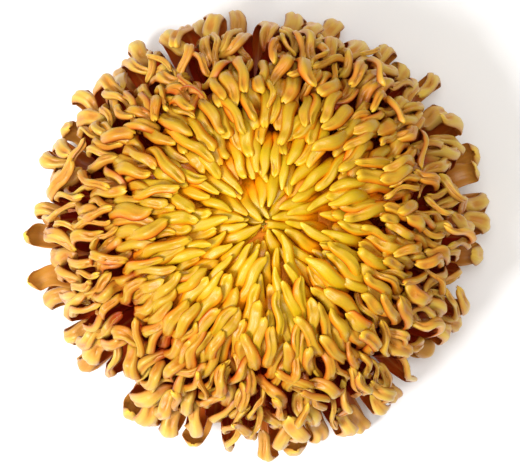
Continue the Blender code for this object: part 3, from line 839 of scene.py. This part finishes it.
def floret_piece(name, florets, rng, material):
    """One object from several florets."""
    points, quads, facts, places, dents, depths = [], [], [], [], [], []
    start = 0
    for floret in florets:
        rings, fact, place, dent, depth = floret_surface(floret, rng)
        stations, loop, _ = rings.shape
        quads.append(ring_faces(stations, loop, start))
        points.append(rings.reshape(-1, 3))
        facts.append(fact.reshape(-1, 4))
        places.append(place.reshape(-1, 3))
        dents.append(dent.reshape(-1))
        depths.append(depth.reshape(-1))
        start += stations * loop
    parts = (points, quads, facts, places, dents, depths)
    mesh = mesh_from(name, *(np.concatenate(part) for part in parts))
    return add_piece(name, mesh, material)


def bract(azimuth, start, end, lift):
    """A bract that lies on the outside of the cup, in the form of a floret."""
    radii, heights = np.array(BRACT_SEAT[::-1]).T
    radius = np.linspace(start, end, PATH_NODES)
    height = np.interp(radius, radii, heights) - lift
    outward = np.array((math.cos(azimuth), math.sin(azimuth), 0.0))
    points = outward * radius[:, None] + np.array((0.0, 0.0, 1.0)) * height[:, None]
    return {"kind": "bract", "share": BRACT_SHARE, "azimuth": azimuth, "points": points}


def turned_piece(name, profile, material, ribs=0):
    """A solid of revolution about +Z, with ribs on its lowest part."""
    form = bmesh.new()
    rows = []
    for radius, height in profile:
        rib_depth = RIB_DEPTH if ribs > 0 and height < STEM_TOP else 0.0
        row = []
        for side in range(CUP_SIDES):
            angle = 2 * math.pi * side / CUP_SIDES
            reach = radius * (1.0 + rib_depth * math.cos(ribs * angle))
            point = (reach * math.cos(angle), reach * math.sin(angle), height)
            row.append(form.verts.new(leaned(point) * MM))
        rows.append(row)
    for upper, lower in zip(rows, rows[1:]):
        for side in range(CUP_SIDES):
            following = (side + 1) % CUP_SIDES
            form.faces.new((upper[following], upper[side], lower[side], lower[following]))
    bmesh.ops.remove_doubles(form, verts=form.verts, dist=WELD)
    bmesh.ops.recalc_face_normals(form, faces=form.faces)
    mesh = bpy.data.meshes.new(name)
    form.to_mesh(mesh)
    form.free()
    mesh.shade_smooth()
    return add_piece(name, mesh, material)


class Surface:
    """A material with short ways to add the nodes that colour it."""

    def __init__(self, name, roughness, specular):
        self.material = bpy.data.materials.new(name)
        self.material.use_nodes = True
        self.nodes = self.material.node_tree.nodes
        self.links = self.material.node_tree.links
        self.shader = self.nodes["Principled BSDF"]
        self.shader.inputs["Roughness"].default_value = roughness
        self.shader.inputs["Specular IOR Level"].default_value = specular

    def feed(self, socket, value):
        """Link a socket to another node's output, or give it a colour or a number."""
        if isinstance(value, bpy.types.NodeSocket):
            self.links.new(value, socket)
        elif isinstance(value, tuple):
            socket.default_value = (*value, 1.0)
        else:
            socket.default_value = value

    def attribute(self, name):
        """Node that reads a fact stored at the points of the mesh."""
        node = self.nodes.new("ShaderNodeAttribute")
        node.attribute_name = name
        return node

    def parts(self, kind, source):
        """Outputs of a node that splits a colour or a vector."""
        node = self.nodes.new(kind)
        self.links.new(source, node.inputs[0])
        return node.outputs[0], node.outputs[1], node.outputs[2]

    def math(self, operation, first, second=0.0):
        """Sum, product or other combination of two values."""
        node = self.nodes.new("ShaderNodeMath")
        node.operation = operation
        self.feed(node.inputs[0], first)
        self.feed(node.inputs[1], second)
        return node.outputs[0]

    def vector(self, x, y, z):
        """Vector from three values."""
        node = self.nodes.new("ShaderNodeCombineXYZ")
        for socket, value in zip(node.inputs, (x, y, z)):
            self.feed(socket, value)
        return node.outputs[0]

    def grain(self, x, y, rates, z):
        """Vector from two values that run at their own rates, and a third."""
        fine, coarse = (self.math("MULTIPLY", value, rate) for value, rate in zip((x, y), rates))
        return self.vector(fine, coarse, z)

    def noise(self, place, scale, detail):
        """Soft noise from 0 to 1 at a place."""
        node = self.nodes.new("ShaderNodeTexNoise")
        self.links.new(place, node.inputs["Vector"])
        node.inputs["Scale"].default_value = scale
        node.inputs["Detail"].default_value = detail
        return node.outputs[0]

    def ramp(self, source, stops):
        """Colour that runs through stops as a value grows."""
        node = self.nodes.new("ShaderNodeValToRGB")
        elements = node.color_ramp.elements
        while len(elements) < len(stops):
            elements.new(0.5)
        for element, (position, colour) in zip(elements, stops):
            element.position = position
            element.color = (*colour, 1.0)
        self.links.new(source, node.inputs[0])
        return node.outputs[0]

    def rise(self, source, start, end, top=1.0):
        """Value that grows from 0 to a top while another passes from start to end."""
        node = self.nodes.new("ShaderNodeMapRange")
        node.interpolation_type = "SMOOTHSTEP"
        self.feed(node.inputs[0], source)
        for socket, value in zip(node.inputs[1:5], (start, end, 0.0, top)):
            socket.default_value = value
        return node.outputs[0]

    def mix(self, factor, first, second, blend="MIX"):
        """Colour between two others."""
        node = self.nodes.new("ShaderNodeMix")
        node.data_type = "RGBA"
        node.blend_type = blend
        for socket, value in zip((node.inputs[0], node.inputs[6], node.inputs[7]), (factor, first, second)):
            self.feed(socket, value)
        return node.outputs[2]

    def position(self):
        """Place of the shaded point in the scene, in metres."""
        return self.nodes.new("ShaderNodeNewGeometry").outputs["Position"]

    def axis_distance(self, x, y):
        """Distance from the upright axis, in metres."""
        squares = self.math("ADD", self.math("MULTIPLY", x, x), self.math("MULTIPLY", y, y))
        return self.math("SQRT", squares)

    def bump(self, height, strength, distance):
        """Small relief of the surface."""
        node = self.nodes.new("ShaderNodeBump")
        node.inputs["Strength"].default_value = strength
        node.inputs["Distance"].default_value = distance
        self.links.new(height, node.inputs["Height"])
        self.links.new(node.outputs[0], self.shader.inputs["Normal"])


def petal_back(petal, ramps, along, edge, share, patches):
    """Colour of a petal's outer face: deeper towards its root, partly its own colour and partly painted
    shade, with painted shade in its dents, on its sides and down in the head.
    """
    dent = petal.attribute("petal_dent_shade").outputs["Fac"]
    depth = petal.attribute("petal_depth").outputs["Fac"]
    # The back deepens towards the root, partly its own colour and partly painted shade
    back = petal.mix(petal.rise(along, *PETAL_SPANS["tip"]), ramps["deep"], ramps["tip"])
    patched = petal.mix(PATCH_STRENGTH, back, PETAL_TINTS["patch"])
    back = petal.mix(petal.rise(patches, *PETAL_SPANS["patch"]), back, patched)
    back = petal.mix(petal.rise(along, *PETAL_SPANS["end"]), back, PETAL_TINTS["end"])
    # Painted shade in the dents and creases
    dent_shade = petal.math("MULTIPLY", dent, petal.rise(share, *PETAL_SPANS["dent"]))
    back = petal.mix(dent_shade, back, PETAL_TINTS["dent"])
    # Painted shade on the flanks, then on the rolled sides, as they turn away from the light
    back = petal.mix(petal.rise(edge, *PETAL_SPANS["flank_shade"]), back, ramps["flank_shade"])
    back = petal.mix(petal.rise(edge, *PETAL_SPANS["under"]), back, ramps["under"])
    # Painted shade down in the head, growing with depth under the crown
    return petal.mix(petal.rise(depth, *PETAL_SPANS["sunk_shade"]), back, ramps["sunk_shade"])


def petal_inside(petal, ramps, along, edge, back):
    """Colour of a petal's inner face, with a pale midrib and edges that take the colour of the back."""
    tip = petal.rise(along, *PETAL_SPANS["inner_tip"])
    face = petal.mix(tip, ramps["inner"], PETAL_TINTS["inner_tip"])
    off_midrib = petal.rise(edge, *PETAL_SPANS["midrib"])
    midrib = petal.math("SUBTRACT", PETAL_SPANS["midrib"][2], off_midrib)
    face = petal.mix(midrib, face, PETAL_TINTS["midrib"])
    return petal.mix(petal.rise(edge, *PETAL_SPANS["rolled_edge"]), face, back)


def petal_material(name):
    """Petals: yellow to buff backs that deepen to orange and maroon, towards the root partly by their own
    colour and partly by painted shade, and by painted shade on their sides, in their dents and down in the
    head; bronze to maroon inside, with fine veins.
    """
    petal = Surface(name, *PETAL_GLOSS)
    facts = petal.attribute("petal")
    along, across, inside = petal.parts("ShaderNodeSeparateColor", facts.outputs["Color"])
    tone = facts.outputs["Alpha"]
    spot = petal.attribute("petal_place").outputs["Vector"]
    across_mm, along_mm, share = petal.parts("ShaderNodeSeparateXYZ", spot)
    far = petal.math("MULTIPLY", tone, TONE_STEP)
    streaks = petal.noise(petal.grain(across_mm, along_mm, STREAK_GRAIN, far), *STREAK_NOISE)
    patches = petal.noise(petal.vector(across_mm, along_mm, far), *PATCH_NOISE)
    cells = petal.noise(petal.grain(across_mm, along_mm, CELL_GRAIN, far), *CELL_NOISE)

    ramps = {part: petal.ramp(share, stops) for part, stops in PETAL_COLOURS.items()}
    edge = petal.math("ABSOLUTE", across)
    back = petal_back(petal, ramps, along, edge, share, patches)
    colour = petal.mix(inside, back, petal_inside(petal, ramps, along, edge, back))
    streaked = petal.mix(STREAK_STRENGTH, colour, PETAL_TINTS["streak"])
    colour = petal.mix(petal.rise(streaks, *PETAL_SPANS["streak"]), colour, streaked)
    toned = petal.mix(1.0, colour, PETAL_TINTS["tone"], "MULTIPLY")
    colour = petal.mix(petal.rise(tone, *PETAL_SPANS["tone"]), colour, toned)
    petal.feed(petal.shader.inputs["Base Color"], colour)
    petal.shader.inputs["Subsurface Weight"].default_value = GLOW
    petal.shader.inputs["Subsurface Radius"].default_value = GLOW_RADIUS
    petal.shader.inputs["Subsurface Scale"].default_value = GLOW_DEPTH
    relief = petal.math("ADD", streaks, petal.math("MULTIPLY", cells, CELL_SHARE))
    petal.bump(relief, *PETAL_BUMP)
    return petal.material


def bract_material():
    """Green bracts with darker middles and pale papery margins."""
    leaf = Surface("bract_green", *BRACT_GLOSS)
    facts = leaf.attribute("petal")
    along, across, _ = leaf.parts("ShaderNodeSeparateColor", facts.outputs["Color"])
    spot = leaf.attribute("petal_place").outputs["Vector"]
    across_mm, along_mm, _ = leaf.parts("ShaderNodeSeparateXYZ", spot)
    veins = leaf.noise(leaf.grain(across_mm, along_mm, BRACT_GRAIN, 0.0), *GREEN_NOISE)
    edge = leaf.math("ABSOLUTE", across)
    colour = leaf.mix(leaf.rise(veins, *GREEN_SPAN), BRACT_COLOURS["dark"], BRACT_COLOURS["light"])
    colour = leaf.mix(leaf.rise(edge, *BRACT_MARGIN), colour, BRACT_COLOURS["margin"])
    colour = leaf.mix(leaf.rise(along, *BRACT_TIP), colour, BRACT_COLOURS["tip"])
    leaf.feed(leaf.shader.inputs["Base Color"], colour)
    leaf.bump(veins, *BRACT_BUMP)
    return leaf.material


def stem_material():
    """Green stem and cup with fine ridges, and a pale pith on the cut face."""
    stem = Surface("stem_green", *STEM_GLOSS)
    place = stem.position()
    x, y, z = stem.parts("ShaderNodeSeparateXYZ", place)
    grain = stem.noise(stem.vector(x, y, stem.math("MULTIPLY", z, STEM_STRETCH)), *STEM_NOISE)
    colour = stem.mix(stem.rise(grain, *GREEN_SPAN), STEM_COLOURS["dark"], STEM_COLOURS["light"])
    off_pith = stem.rise(stem.axis_distance(x, y), *PITH_EDGE)
    cut = stem.mix(off_pith, STEM_COLOURS["pith"], STEM_COLOURS["bark"])
    colour = stem.mix(stem.rise(z, *CUT_FACE), cut, colour)
    stem.feed(stem.shader.inputs["Base Color"], colour)
    stem.bump(grain, *STEM_BUMP)
    return stem.material


def heart_material():
    """Depth between the florets: orange in the middle and maroon further out."""
    deep = Surface("heart_orange", *HEART_GLOSS)
    place = deep.position()
    x, y, _ = deep.parts("ShaderNodeSeparateXYZ", place)
    colour = deep.mix(deep.rise(deep.axis_distance(x, y), *HEART_EDGE), *HEART_COLOURS)
    deep.feed(deep.shader.inputs["Base Color"], colour)
    deep.bump(deep.noise(place, *FINE_NOISE), *HEART_BUMP)
    return deep.material


def floor_material():
    """Plain pale surface with a faint grain."""
    pale = Surface("pale_floor", *FLOOR_GLOSS)
    place = pale.position()
    pale.feed(pale.shader.inputs["Base Color"], pale.mix(pale.noise(place, *FINE_NOISE), *FLOOR_COLOURS))
    return pale.material


def area_light(name, place, size, power, colour):
    """Soft square light that is aimed at the head."""
    lamp = bpy.data.lights.new(name, "AREA")
    lamp.size = size
    lamp.energy = power
    lamp.color = colour
    item = bpy.data.objects.new(name, lamp)
    bpy.context.scene.collection.objects.link(item)
    item.location = place
    item.rotation_euler = (Vector(LAMP_TARGET) - Vector(place)).to_track_quat("-Z", "Y").to_euler()


florets = plan_florets()
settle(florets)
rng = np.random.default_rng(SEED + 1)
groups = (
    ("inner_petals", 2, "yellow_petal", florets[:INNER_COUNT], "inner_florets", "yellow_floret"),
    ("outer_petals", 3, "bronze_petal", florets[INNER_COUNT:], "outer_florets", "bronze_floret"),
)
for name, pieces, surface, group, node, slot in groups:
    material = petal_material(surface)
    ends = [round(len(group) * place / pieces) for place in range(pieces + 1)]
    for place, (first, last) in enumerate(zip(ends, ends[1:])):
        petals = floret_piece(f"{name}_{place}", group[first:last], rng, material)
        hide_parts(node)

bracts = []
for row, (count, start, end, offset) in enumerate(BRACT_ROWS):
    for place in range(count):
        azimuth = 2 * math.pi * (place + offset) / count
        lift = BRACT_LIFT + BRACT_LAYER * (len(BRACT_ROWS) - 1 - row)
        bracts.append(bract(azimuth, start, end, lift))
green = stem_material()
green_pieces = (
    floret_piece("bracts", bracts, rng, bract_material()),
    turned_piece("cup_and_stem", CUP, green, STEM_RIBS),
)
for piece in green_pieces:
    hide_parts("involucre")
receptacle = turned_piece("receptacle", RECEPTACLE, green)
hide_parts("outer_florets")

heart = turned_piece("heart", HEART, heart_material())
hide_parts("inner_florets")

# Floor, light and camera
floor_mesh = bpy.data.meshes.new("floor")
floor_mesh.from_pydata(FLOOR_CORNERS, [], [(0, 1, 2, 3)])
floor_mesh.materials.append(floor_material())
floor = bpy.data.objects.new("floor", floor_mesh)
bpy.context.scene.collection.objects.link(floor)

world = bpy.data.worlds.new("studio")
bpy.context.scene.world = world
world.use_nodes = True
world.node_tree.nodes["Background"].inputs[0].default_value = SKY_COLOUR
world.node_tree.nodes["Background"].inputs[1].default_value = SKY_STRENGTH
for lamp in LAMPS:
    area_light(*lamp)

camera = bpy.data.cameras.new("camera")
camera.lens = CAMERA_LENS
camera_object = bpy.data.objects.new("camera", camera)
bpy.context.scene.collection.objects.link(camera_object)
camera_object.location = CAMERA_PLACE
bpy.context.scene.camera = camera_object
bpy.context.scene.view_settings.view_transform = "Standard"
